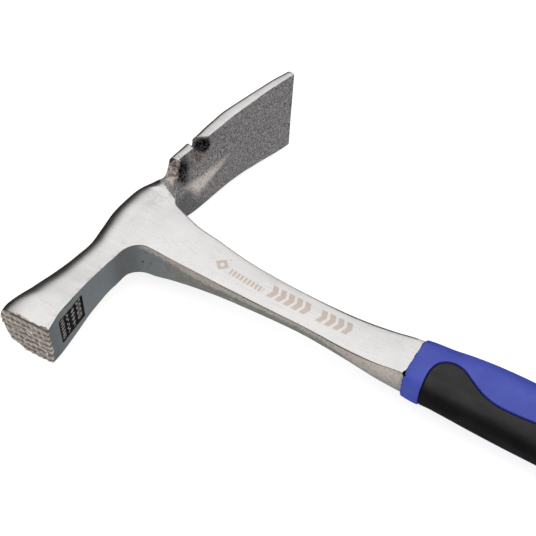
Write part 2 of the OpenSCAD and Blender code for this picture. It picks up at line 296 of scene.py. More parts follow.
def notch_cut(x, y, z):
    """Nail notch: an eye that widens to the front, open to the blade's side, with a pointed throat."""
    # 0 at the blade's back and 1 at its front, where the notch is wider
    t = np.clip((x - NOTCH_BACK) / NOTCH_DEEP, -0.4, 1.5)
    w = z - NOTCH_Z
    eye = np.hypot(y - 46.0 - 2.0 * t, w) - 2.2 - 3.5 * t
    mouth = np.maximum(np.abs(y - 45.9 - 0.7 * t) - 2.0 - 3.0 * t, -w)
    throat = np.hypot(y - 45.7, w + 1.5 + 2.4 * t) - 1.1 - 1.3 * t
    return melt(melt(eye, throat, 1.6), mouth, 0.6) * 0.87


def blade_field(x, y, z):
    """Curved blade, with the tooth and the shoulder beside its root."""
    back, front, half = read(BLADE, np.maximum(y, TOOTH_Y))
    swell = np.clip((y - SHOULDER_Y) / (TOOTH_Y - SHOULDER_Y), 0, 1) ** 2.4
    half = np.where(y < TOOTH_Y, SHOULDER_HALF + (half - SHOULDER_HALF) * swell, half)
    back = back - 0.4 * ramp(36, 44, y)
    thick = front - back
    side = np.abs(z) - half
    end = (x - EDGE_X) * EDGE_ALONG_X + (y - EDGE_Y) * EDGE_ALONG_Y + (z - half) * EDGE_ALONG_Z
    outline = corner(side, end, TIP_CORNER)
    rear = corner(outline, back - x, np.minimum(BACK_ROLL, 0.6 * thick))
    body = corner(rear, x - front, 0.45 + 0.9 * ramp(40, 34, y))
    return np.maximum(body, SHOULDER_Y - y)


POCKET_X, POCKET_Y, POCKET_Z = 4.0, 33.4, 11.9
POCKET_RADIUS, POCKET_HALF = 2.6, 4.5


def pocket_cut(x, y, z):
    """Hollow left between the blade's root rib and the tooth beside the notch."""
    across = np.hypot(x - POCKET_X, y - POCKET_Y) / POCKET_RADIUS
    return (np.hypot(across, (z - POCKET_Z) / POCKET_HALF) - 1) * 2.3


def shank_edges(x):
    """Stations of the shank at x, and how fast its sides and its thickness drift along it."""
    low, high, h, crown = read(SHANK, x)
    low_next, high_next, h_next, _ = read(SHANK, x + DRIFT_STEP)
    drifts = [(b - a) / DRIFT_STEP for a, b in ((low, low_next), (high, high_next), (h, h_next))]
    return low, high, h, crown, drifts


def cheek_distance(x, y, z):
    """Distance above the shank's cheeks, and their half thickness at the edge."""
    low, high, h, crown, (_, _, h_drift) = shank_edges(x)
    neck_half = read(NECK, y)[2]
    h = neck_half - 0.1 + (h - neck_half + 0.1) * ramp(9, 27, x)
    v = np.clip(2 * (y - low) / (high - low) - 1, -1.3, 1.3)
    roll = np.maximum(v, 0)
    top = h + crown * (1 - v * v + CROWN_FLATTEN * roll**2) - SHANK_ROLL * roll**6
    tilt = (-2 * crown * (v - CROWN_FLATTEN * roll) - 6 * SHANK_ROLL * roll**5) * 2 / (high - low)
    return (np.abs(z) - top) / np.sqrt(1 + tilt**2 + h_drift**2), h


def shank_field(x, y, z):
    """Shank with crowned cheeks and narrow sides, filleted into the head's underside."""
    low, high, _, _, (low_drift, high_drift, _) = shank_edges(x)
    under = read(NECK, y)[1]
    cheek, h = cheek_distance(x, y, z)
    bulge = SIDE_DRAFT * (h - np.abs(z))
    low_side = (low - bulge - y) / np.hypot(1, low_drift)
    high_side = (y - high - bulge) / np.hypot(1, high_drift)
    low_side = fillet(low_side, np.maximum(x - under, np.abs(y) - 26), HEAD_FILLET)
    body = corner(corner(cheek, low_side, 0.4), high_side, 0.8 + 1.5 * ramp(60, 120, x))
    return np.maximum(np.maximum(body, SHANK[0][0] - x), x - SHANK[-1][0])


TANG_START, TANG_LENGTH, TANG_THICK = 143.0, 98.0, 7.0
TANG_HALF, TANG_END_HALF = 8.2, 5.5
KEY_HOLES, KEY_HOLE_D = 3, 6.5


def tang_field(x, y, z, gap=0.0):
    """Flat tapered tang with its keying holes, grown by gap."""
    far = TANG_START + TANG_LENGTH
    t = (x - TANG_START) / TANG_LENGTH
    half = TANG_HALF + (TANG_END_HALF - TANG_HALF) * t
    flat = np.abs(z) - TANG_THICK / 2
    outline = np.maximum(corner(np.abs(y - 0.5 * (1 - t)) - half, x - far, 4.0), TANG_START - 4 - x)
    body = corner(outline, flat, 0.3)
    for k in range(1, KEY_HOLES + 1):
        hole = np.hypot(x - TANG_START - TANG_LENGTH * k / (KEY_HOLES + 1), y) - KEY_HOLE_D / 2
        body = carve(body, hole)
    return body - gap


ROOT_SLOPE = 0.52
ROOT_Y = 23.3


def root_distance(x, y):
    """Distance past the line across each cheek where the grinding stops and the blade's root begins."""
    return (y - ROOT_Y + ROOT_SLOPE * x) / math.hypot(1, ROOT_SLOPE)


GROUND_WAVE = 0.10
ROOT_FALL, ROOT_BEND, ROOT_DEPTH = 0.42, 1.5, 4.0


def forging_field(x, y, z):
    """The whole forging. The cheeks fall away past the line where the grinding stops."""
    past = np.maximum(root_distance(x, y), 0)
    drop = np.minimum(ROOT_FALL * past * past / (past + ROOT_BEND), ROOT_DEPTH)
    dropped = neck_field(x, y, z + np.sign(z) * drop * ramp(2, 9, np.abs(z)))
    head = melt(dropped, blade_field(x, y, z), 4.0)
    head = carve(head, pocket_cut(x, y, z), 0.8)
    head = carve(head, notch_cut(x, y, z), 0.35)
    head = carve(head, stamp_cut(x, y, z), 0.12)
    body = melt(head, shank_field(x, y, z), 0.4)
    face = face_depth(x, z) - FACE_REACH - y
    body = np.maximum(body, face * 0.75)
    body = body + GROUND_WAVE * wobble(x, y, z, 26, 3, 2) * ramp(GRIP_START, GRIP_START - 6, x)
    return melt(body, tang_field(x, y, z), 0.5)


# ---------------------------------------------------------------- grip


def smooth_line(points, steps):
    """Points along the smooth curve through a list of points in the plane."""
    p = np.asarray(points, float)
    ends = np.vstack([p[:1], p, p[-1:]])
    out = []
    for i in range(len(p) - 1):
        a, b, c, d = ends[i : i + 4]
        for u in np.arange(steps) / steps:
            out.append(0.5 * (2 * b + (c - a) * u + (2 * a - 5 * b + 4 * c - d) * u * u
                              + (3 * b - a - 3 * c + d) * u**3))
    out.append(p[-1])
    return np.array(out)


class Plan:
    """Signed distance to a closed outline in the XY plane, read from a fine grid."""

    def __init__(self, outline, margin=6.0, pitch=0.2):
        self.low = outline.min(0) - margin
        self.pitch = pitch
        count = np.ceil((outline.max(0) + margin - self.low) / pitch).astype(int) + 1
        gx = self.low[0] + pitch * np.arange(count[0])[:, None]
        gy = self.low[1] + pitch * np.arange(count[1])[None, :]
        best = np.full(count, 1e9)
        odd = np.zeros(count, bool)
        for a, b in zip(outline, np.roll(outline, -1, 0)):
            d = b - a
            t = np.clip(((gx - a[0]) * d[0] + (gy - a[1]) * d[1]) / max(d @ d, 1e-12), 0, 1)
            best = np.minimum(best, np.hypot(gx - a[0] - t * d[0], gy - a[1] - t * d[1]))
            if a[1] != b[1]:
                crosses = (a[1] > gy) != (b[1] > gy)
                odd ^= crosses & (gx < a[0] + (gy - a[1]) * d[0] / d[1])
        self.grid = np.where(odd, -best, best)

    def __call__(self, x, y):
        u = np.clip((x - self.low[0]) / self.pitch, 0, self.grid.shape[0] - 1.001)
        v = np.clip((y - self.low[1]) / self.pitch, 0, self.grid.shape[1] - 1.001)
        u, v = np.broadcast_arrays(u, v)
        i, j = u.astype(int), v.astype(int)
        s, t = u - i, v - j
        g = self.grid
        return ((g[i, j] * (1 - s) + g[i + 1, j] * s) * (1 - t)
                + (g[i, j + 1] * (1 - s) + g[i + 1, j + 1] * s) * t)


cushion_plan = Plan(smooth_line(CUSHION_BORDER, 6) + [GRIP_START + COLLAR_LENGTH, 0])


def grip_body(x, y, z, inset=0.0):
    """Outer shape of the grip, shrunk by inset."""
    low, high, half = read(GRIP, x - GRIP_START)
    n = GRIP_ROUNDNESS + 0.6 * ramp(14, 2, x - GRIP_START)
    side = oval(y - (low + high) / 2, z, (high - low) / 2, half, n) + inset
    mouth = GRIP_START - x + inset
    butt = x - GRIP_START - GRIP_LENGTH + inset
    return corner(corner(side, butt, BUTT_ROUND), mouth, MOUTH_ROUND)


def hanging_hole(x, y, z):
    """Round hole through the butt that flares at both ends."""
    flare = np.maximum(np.abs(z) - HANG_WALL / 2, 0)
    return (np.hypot(x - HANG_X, y) - HANG_RADIUS - flare) * np.where(flare > 0, 0.7, 1)


def mouth_cut(x, y, z):
    """Narrow pocket round the shank in the collar's mouth, a little wider on the striking side."""
    gap = 0.12 + 0.2 * ramp(0, -9, y)
    return np.maximum(shank_field(x, y, z) - gap, x - GRIP_START - 1.5)


def core_field(x, y, z):
    body = grip_body(x, y, z)
    seat = np.maximum(cushion_plan(x, y), -grip_body(x, y, z, CUSHION_WALL))
    body = carve(body, seat, 0.35)
    inner = np.minimum(tang_field(x, y, z, TANG_GAP), shank_field(x, y, z) - TANG_GAP)
    body = carve(body, np.minimum(inner, mouth_cut(x, y, z)), 0.3)
    return carve(body, hanging_hole(x, y, z), 0.8)


def cushion_field(x, y, z):
    skin = grip_body(x, y, z, CUSHION_STEP)
    body = corner(skin, cushion_plan(x, y) + CUSHION_GAP, 0.9)
    return np.maximum(body, -grip_body(x, y, z, CUSHION_WALL - 0.03))


# ---------------------------------------------------------------- meshing
CORNERS = [(i, j, k) for i in (0, 1) for j in (0, 1) for k in (0, 1)]


def sample(field, axes):
    """Values of a field on a grid, a slab at a time."""
    x, y, z = axes
    slabs = []
    for start in range(0, len(x), 16):
        part = x[start : start + 16, None, None]
        value = field(part, y[None, :, None], z[None, None, :])
        slabs.append(np.broadcast_to(value, (len(part), len(y), len(z))).astype(np.float32))
    return np.concatenate(slabs)


def surface_net(field, low, high, step):
    """Vertices and quads of the zero surface of a field, one vertex in each cell that it crosses."""
    axes = [np.arange(low[a] - 1.5 * step, high[a] + 2 * step, step) for a in range(3)]
    value = sample(field, axes)
    inside = value < 0
    size = [n - 1 for n in value.shape]
    count = sum(
        inside[i : i + size[0], j : j + size[1], k : k + size[2]].astype(np.int8) for i, j, k in CORNERS
    )
    cell = np.argwhere((count > 0) & (count < 8))
    number = np.full(size, -1)
    number[tuple(cell.T)] = np.arange(len(cell))
    total, crossings = np.zeros((len(cell), 3)), np.zeros(len(cell))
    for a in CORNERS:
        for axis in range(3):
            if a[axis]:
                continue
            b = tuple(c + (n == axis) for n, c in enumerate(a))
            va, vb = value[tuple((cell + a).T)], value[tuple((cell + b).T)]
            cross = (va < 0) != (vb < 0)
            t = np.where(cross, va / np.where(cross, va - vb, 1), 0)
            spot = cell + np.array(a) + t[:, None] * np.eye(3)[axis]
            total += spot * cross[:, None]
            crossings += cross
    vertices = np.array([a[0] for a in axes]) + step * total / crossings[:, None]
    quads = []
    for axis in range(3):
        one, two = (axis + 1) % 3, (axis + 2) % 3
        front, back = [slice(1, n) for n in size], [slice(1, n) for n in size]
        front[axis], back[axis] = slice(0, size[axis]), slice(1, size[axis] + 1)
        change = inside[tuple(front)] != inside[tuple(back)]
        edge = np.argwhere(change) + 1
        edge[:, axis] -= 1
        outward = inside[tuple(edge.T)]
        ring = []
        for shift_one, shift_two in ((-1, -1), (0, -1), (0, 0), (-1, 0)):
            spot = edge.copy()
            spot[:, one] += shift_one
            spot[:, two] += shift_two
            ring.append(number[tuple(spot.T)])
        ring = np.stack(ring, 1)
        ring[~outward] = ring[~outward][:, ::-1]
        quads.append(ring)
    return vertices, np.concatenate(quads)


def gradient(field, p, h=0.01):
    """Value and gradient of a field at the points p."""
    g = np.empty_like(p)
    for axis in range(3):
        d = np.zeros(3)
        d[axis] = h
        g[:, axis] = (field(*(p + d).T) - field(*(p - d).T)) / (2 * h)
    return field(*p.T), g


def settle(field, p, rounds, reach):
    """Moves points onto the zero surface, by at most reach in each round."""
    for _ in range(rounds):
        value, g = gradient(field, p)
        move = -value[:, None] * g / np.maximum((g * g).sum(1), 0.04)[:, None]
        length = np.linalg.norm(move, axis=1)
        p = p + move * np.minimum(1, reach / np.maximum(length, 1e-9))[:, None]
    return p


def relax(p, triangles, amount=0.5):
    """One round of averaging with the neighbours."""
    total, count = np.zeros_like(p), np.zeros(len(p))
    for a, b in ((0, 1), (1, 2), (2, 0)):
        for i, j in ((triangles[:, a], triangles[:, b]), (triangles[:, b], triangles[:, a])):
            for axis in range(3):
                total[:, axis] += np.bincount(i, p[j, axis], len(p))
            count += np.bincount(i, minlength=len(p))
    return p + amount * (total / np.maximum(count, 1)[:, None] - p)


def split(p, triangles, bad_edge):
    """Splits the triangles' marked edges at their middles, with no gaps beside them."""
    ends = np.concatenate([triangles[:, [0, 1]], triangles[:, [1, 2]], triangles[:, [2, 0]]])
    ends = np.sort(ends, axis=1)
    edges, which = np.unique(ends, axis=0, return_inverse=True)
    which = which.reshape(3, -1).T
    cut = bad_edge(edges)
    middle = np.full(len(edges), -1)
    middle[cut] = len(p) + np.arange(cut.sum())
    p = np.vstack([p, (p[edges[cut, 0]] + p[edges[cut, 1]]) / 2])
    m = middle[which]
    cuts = (m >= 0).sum(1)
    out = [triangles[cuts == 0]]
    for turn in range(3):
        order = [turn, (turn + 1) % 3, (turn + 2) % 3]
        a, b, c = (triangles[:, k] for k in order)
        ab, bc, ca = (m[:, k] for k in order)
        one = (cuts == 1) & (ab >= 0)
        out += [np.stack([a, ab, c], 1)[one], np.stack([ab, b, c], 1)[one]]
        two = (cuts == 2) & (ca < 0)
        out += [np.stack([ab, b, bc], 1)[two], np.stack([a, ab, bc], 1)[two], np.stack([a, bc, c], 1)[two]]
    a, b, c, ab, bc, ca = *triangles.T, *m.T
    three = cuts == 3
    for tri in ((a, ab, ca), (ab, b, bc), (ca, bc, c), (ab, bc, ca)):
        out.append(np.stack(tri, 1)[three])
    return p, np.concatenate(out)


def solid(field, low, high, step, levels, tolerance):
    """Vertices and triangles of a field's surface, finer where it bends sharply."""
    p, quads = surface_net(field, low, high, step)
    first = np.linalg.norm(p[quads[:, 0]] - p[quads[:, 2]], axis=1)
    second = np.linalg.norm(p[quads[:, 1]] - p[quads[:, 3]], axis=1)
    short = (first < second)[:, None]
    triangles = np.concatenate([
        np.where(short, quads[:, [0, 1, 2]], quads[:, [0, 1, 3]]),
        np.where(short, quads[:, [0, 2, 3]], quads[:, [1, 2, 3]]),
    ])
    p = relax(p, triangles)
    p = settle(field, p, 4, step / 2)
    for _ in range(levels):
        step /= 2
        _, g = gradient(field, p)
        normal = g / np.maximum(np.linalg.norm(g, axis=1), 1e-9)[:, None]

        def bends(edges):
            a, b = edges.T
            length = np.linalg.norm(p[a] - p[b], axis=1)
            angle = np.arccos(np.clip((normal[a] * normal[b]).sum(1), -1, 1))
            return (length * angle / 8 > tolerance) & (length > 0.8 * step)

        p, triangles = split(p, triangles, bends)
        p = settle(field, p, 2, step / 2)
    return p, triangles


def link(piece):
    bpy.context.scene.collection.objects.link(piece)
    return piece


def make_piece(name, p, triangles, layers):
    """Blender object in the row frame from a design-frame mesh, with colour layers on its points."""
    mesh = bpy.data.meshes.new(name)
    mesh.vertices.add(len(p))
    mesh.vertices.foreach_set("co", (p * MM + ORIGIN).astype(np.float32).ravel())
    mesh.loops.add(3 * len(triangles))
    mesh.loops.foreach_set("vertex_index", triangles.astype(np.int32).ravel())
    mesh.polygons.add(len(triangles))
    mesh.polygons.foreach_set("loop_start", np.arange(0, 3 * len(triangles), 3, dtype=np.int32))
    mesh.update(calc_edges=True)
    mesh.validate()
    mesh.shade_smooth()
    for layer, channels in layers.items():
        colour = np.ones((len(p), 4), np.float32)
        for k, channel in enumerate(channels):
            colour[:, k] = channel
        attribute = mesh.color_attributes.new(layer, "FLOAT_COLOR", "POINT")
        attribute.data.foreach_set("color", colour.ravel())
    return link(bpy.data.objects.new(name, mesh))


# ---------------------------------------------------------------- pieces
CODE_REACH = 4.0
FAR = 9.0


def code(d):
    """A distance in millimetres as a colour channel: 0.5 on the border and 1 deep inside."""
    return np.clip(0.5 - d / (2 * CODE_REACH), 0, 1)


def blasted_border(x, y, z):
    """Blasted root and blade. The strip that is ground along the blade's sides stays out of it."""
    back, _, half = read(BLADE, y)
    ground = 0.35 + 3.2 * ramp(4.0, 0.8, x - back)
    border = np.where(y > 27, np.abs(z) - half + ground, -root_distance(x, y))
    return np.where(x > 20, FAR, border)


def sides_border(x, y, z):
    """Unground surfaces: the underside of the neck and the two narrow sides of the shank."""
    low, high, _, _ = read(SHANK, x)
    under, neck_half = read(NECK, y)[1:3]
    cheek, _ = cheek_distance(x, y, z)
    # Steep, so that a wide soft or ragged border doesn't spread over the whole cheek
    below_cheek = 4 * (cheek + 0.45)
    low_band = np.maximum(below_cheek, y - (low + high) / 2)
    high_band = np.maximum(below_cheek, high - 0.3 - y)
    runout = -corner(y - high + 1.2, x - GRIP_START + 0.2, 5.0)
    bands = np.minimum(low_band, np.where(x > 40, np.minimum(high_band, runout), FAR))
    below_neck = 2 * np.maximum(np.abs(z) - neck_half + 0.35, under - 0.45 - x)
    below = np.where(x < 9, below_neck, below_cheek)
    underside = np.where(y < 9, np.maximum(below, 6.5 - x), FAR)
    return np.minimum(underside, np.maximum(bands, 19 - x))


def mouth_shade_border(x, y, z):
    """Painted shade where the shank enters the collar: a spot at its edge, and a line round the mouth."""
    spot = np.hypot(np.hypot(x - 140.9, 0.6 * (y + 9.4)), z - 6.4) - 1.1
    return np.minimum(spot, 0.7 * (GRIP_START - 0.45 - x))


def stamp_borders(x, y, z):
    """The stamped panel and its raised marks."""
    u, w, sunk = stamp_place(x, y, z)
    outline = np.maximum(np.abs(u) - STAMP_LENGTH / 2, np.abs(w) - STAMP_WIDTH / 2)
    panel = np.maximum(outline, 0.1 - sunk)
    return panel, np.where(panel < 0.5, stamp_marks(u, w), FAR)


def rib_highlight_border(y, z):
    """Triangle of painted highlight along the upper side of the rib on the blade's front, narrowing towards
    the edge.
    """
    crest, foot, start = 4.0 - 0.12 * (y - 38), 0.62 * (y - 65), 35.0 - 0.65 * z
    rib = np.maximum(2 * (z - crest), 0.85 * np.maximum(foot - z, start - y))
    return np.where(y > 20, rib, FAR)


def back_shade_border(x, y):
    """Band of painted shade along the back edge of the neck, the crown and the blade's strip."""
    neck_back, blade_back = read(NECK, y)[0], read(BLADE, y)[0]
    return np.where(y < 22, x - neck_back - 6.0 - 2.5 * ramp(-52, -72, y), x - blade_back - 2.4)


def forging_layers(x, y, z):
    """Borders of the finishes on the forging, and of its painted shade and highlight, each as a channel of
    a colour layer.
    """
    blasted, sides = blasted_border(x, y, z), sides_border(x, y, z)
    mouth_shade = mouth_shade_border(x, y, z)
    depth = face_depth(x, z) / (GROOVE_DEPTH + 0.3)
    panel, marks = stamp_borders(x, y, z)
    notch = np.where(y > 36, notch_cut(x, y, z) - 0.3, FAR)
    pocket = np.where(y > 24, pocket_cut(x, y, z) - 0.7, FAR)
    shoulder = np.where((y > 20) & (y < 33) & (z > 9), blade_field(x, y, z) - 0.3, FAR)
    return {
        # The finish layer's third channel borders painted shade round the shank's mouth
        "finish": (code(blasted), code(sides), code(mouth_shade * 2)),
        # The groove depth and the notch channels drive painted shade in the grooves and the notch
        "face": (code(y + FACE_REACH - 1.6), np.clip(depth, 0, 1), code(notch)),
        "stamp": (code(panel * 3), code(marks * 3), code(pocket)),
        # The rib channel borders a painted highlight, and the last channel painted shade along the back
        # edge
        "root": (code(shoulder), code(rib_highlight_border(y, z)), code(back_shade_border(x, y))),
    }


coarse = 1.0


def build(name, field, low, high, step, tolerance, layers=None):
    p, triangles = solid(field, low, high, step * coarse, 3, tolerance * coarse)
    return make_piece(name, p, triangles, layers(*p.T) if layers else {})


forging = build("forging", forging_field, (-16, -74, -23.5), (242, 115, 23.5), 0.9, 0.022, forging_layers)
core = build("hard_core", core_field, (140, -19, -14), (267, 18, 14), 1.2, 0.03)
cushion = build("soft_cushion", cushion_field, (148, -19, -14), (240, 5, 14), 1.0, 0.03)
for piece, node, slot in (
    (forging, "forged_body", "forged_steel"),
    (core, "grip_core", "grip_blue"),
    (cushion, "grip_cushion", "grip_black"),
):
    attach(piece, "root")
    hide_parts(node)

# ---------------------------------------------------------------- materials


class Nodes:
    """The node tree of a material or a world. Any input takes a socket, a number or a colour."""

    def __init__(self, owner):
        owner.use_nodes = True
        self.tree = owner.node_tree

    def feed(self, socket, value):
        if isinstance(value, bpy.types.NodeSocket):
            self.tree.links.new(value, socket)
        elif isinstance(value, (tuple, list)) and len(socket.default_value) == 4:
            socket.default_value = (*value, 1)
        else:
            socket.default_value = value

    def node(self, kind, inputs, output=0, **settings):
        n = self.tree.nodes.new(kind)
        for key, value in settings.items():
            setattr(n, key, value)
        for key, value in inputs.items():
            self.feed(n.inputs[key], value)
        return n.outputs[output]


class Paint(Nodes):
    """A material under construction."""

    def __init__(self, name):
        self.material = bpy.data.materials.new(name)
        super().__init__(self.material)
        self.shader = self.tree.nodes["Principled BSDF"]
        self.where = self.node("ShaderNodeTexCoord", {}, output="Object")

    def math(self, operation, a, b=0.0):
        return self.node("ShaderNodeMath", {0: a, 1: b}, operation=operation)

    def add(self, a, b):
        return self.math("ADD", a, b)

    def times(self, a, *others):
        """Product: of masks, it is 1 where all of them are."""
        for b in others:
            a = self.math("MULTIPLY", a, b)
        return a

    def either(self, a, *others):
        """Largest: of masks, it is 1 where any of them is."""
        for b in others:
            a = self.math("MAXIMUM", a, b)
        return a

    def absolute(self, a):
        return self.math("ABSOLUTE", a)

    def outside(self, a):
        return self.math("SUBTRACT", 1.0, a)

    def swing(self, noise, amount):
        """A noise as millimetres to either side of 0, by amount between its extremes."""
        return self.times(self.add(noise, -0.5), amount)

    def step(self, value, low, high, to_low=0.0, to_high=1.0):
        """Smooth step of a value from low to high."""
        return self.node("ShaderNodeMapRange", {
            "Value": value, "From Min": low, "From Max": high, "To Min": to_low, "To Max": to_high,
        }, interpolation_type="SMOOTHSTEP")

    def blend(self, factor, a, b):
        """Colour a where factor is 0, and b where it is 1."""
        return self.node("ShaderNodeMix", {0: factor, 6: a, 7: b}, output=2, data_type="RGBA")

    def coats(self, colour, *layers):
        """A colour with layers over it, each a cover from 0 to 1 and a colour."""
        for cover, paint in layers:
            colour = self.blend(cover, colour, paint)
        return colour

    def blend_value(self, factor, a, b):
        """Number a where factor is 0, and b where it is 1."""
        return self.node("ShaderNodeMix", {0: factor, 2: a, 3: b})

    def place(self):
        """X, Y and Z in millimetres about the crossing of the centre lines."""
        moved = self.node("ShaderNodeMapping", {
            "Vector": self.where, "Scale": (1 / MM,) * 3, "Location": tuple(-ORIGIN / MM),
        })
        return [self.node("ShaderNodeSeparateXYZ", {0: moved}, output=k) for k in range(3)]

    def scaled(self, size):
        """Position divided by a feature size in millimetres, for each axis."""
        size = size if isinstance(size, tuple) else (size,) * 3
        return self.node("ShaderNodeMapping", {
            "Vector": self.where, "Scale": tuple(1 / (MM * v) for v in size),
        })

    def noise(self, size, detail=3.0, roughness=0.5, seed=0.0):
        """Soft noise with features about size millimetres long."""
        return self.node("ShaderNodeTexNoise", {
            "Vector": self.scaled(size), "Scale": 1.0, "Detail": detail, "Roughness": roughness, "W": seed,
        }, noise_dimensions="4D")

    def specks(self, size, share, seed=0.0):
        """Scattered round specks: 1 inside them, over a small share of the surface."""
        distance = self.node("ShaderNodeTexVoronoi", {
            "Vector": self.scaled(size), "Scale": 1.0, "W": seed,
        }, voronoi_dimensions="4D")
        return self.step(distance, share, share * 0.5)

    def layer(self, name):
        """The three channels of a colour layer."""
        colour = self.node("ShaderNodeAttribute", {}, output="Color", attribute_name=name)
        return [self.node("ShaderNodeSeparateColor", {0: colour}, output=k) for k in range(3)]

    def inside(self, channel, ragged=None, amount=0.0, soft=0.12):
        """1 inside a coded border and 0 outside it.

        The border is soft millimetres wide, and ragged noise moves it by amount millimetres.
        """
        if ragged is not None:
            channel = self.add(channel, self.swing(ragged, amount / CODE_REACH))
        edge = soft / (2 * CODE_REACH)
        return self.step(channel, 0.5 - edge, 0.5 + edge)

    def bump(self, height, distance, normal=None):
        """Normal bent by a height, which stands for distance millimetres where it is 1."""
        inputs = {"Height": height, "Distance": distance * MM, "Strength": 1.0}
        if normal is not None:
            inputs["Normal"] = normal
        return self.node("ShaderNodeBump", inputs)

    def finish(self, **inputs):
        for key, value in inputs.items():
            self.feed(self.shader.inputs[key.replace("_", " ")], value)
        return self.material


POLISHED, POLISHED_DIM, BRUSHED = (0.715, 0.705, 0.70), (0.69, 0.68, 0.672), (0.58, 0.565, 0.555)
# The second colour here is painted shade for the back edge
FLAW, BACK_EDGE_SHADE, ETCHED = (0.12, 0.10, 0.09), (0.17, 0.16, 0.155), (0.52, 0.43, 0.37)
UNDERSIDE, UNDERSIDE_BROWN = (0.245, 0.275, 0.295), (0.25, 0.22, 0.19)
# The second colour here is painted shade for the underside's inner corner
SCAR, CORNER_SHADE, RUST_EDGE = (0.06, 0.045, 0.035), (0.12, 0.115, 0.105), (0.33, 0.22, 0.15)
BLAST_DARK, BLAST_LIGHT = (0.060, 0.058, 0.062), (0.45, 0.43, 0.425)
# Painted highlight for the blade's rib, and blue-grey painted shade by its root
RIB_HIGHLIGHT, BLUE_GREY_SHADE = (0.80, 0.71, 0.66), (0.075, 0.078, 0.092)
TAN, TAN_LIGHT = (0.20, 0.155, 0.13), (0.70, 0.60, 0.54)
SCALE_DARK, SCALE_BROWN = (0.26, 0.262, 0.245), (0.54, 0.49, 0.44)
SCALE_SPECK, SCALE_STREAK = (0.15, 0.13, 0.11), (0.74, 0.70, 0.65)
SCALE_AT_GRIP_LOW, SCALE_AT_GRIP_HIGH = (0.40, 0.395, 0.38), (0.78, 0.69, 0.62)
# Tooth tops are worn bright and lighter as a painted highlight; the groove colour is painted shade
TOOTH_WEAR_AND_HIGHLIGHT, GROOVE_SHADE, TOOTH_RUST = (0.60, 0.535, 0.495), (0.11, 0.085, 0.065), (0.24, 0.15, 0.09)
# Near black and dark brown for painted shade in the hollow, the notch and the mouth; the near black is also
# the stamped panel's black paint
BLACK_PAINT_AND_SHADE, SHADED_BROWN, WALL_BROWN = (0.004, 0.0035, 0.003), (0.050, 0.032, 0.022), (0.27, 0.23, 0.21)
MARK_GREY = (0.26, 0.255, 0.25)

CROWN_SPOT = (3.0, 13.0)
# Middle of the deepest painted shade in the notch
DEEP_SHADE_SPOT = (2.8, 51.0, 14.8)
# Etched marks along X: middles, and the chevron groups' middles and half lengths
LOZENGE_X, TICKS_X = 48.0, 61.5
CHEVRON_GROUPS = [(83.0, 10.0), (105.0, 8.0)]


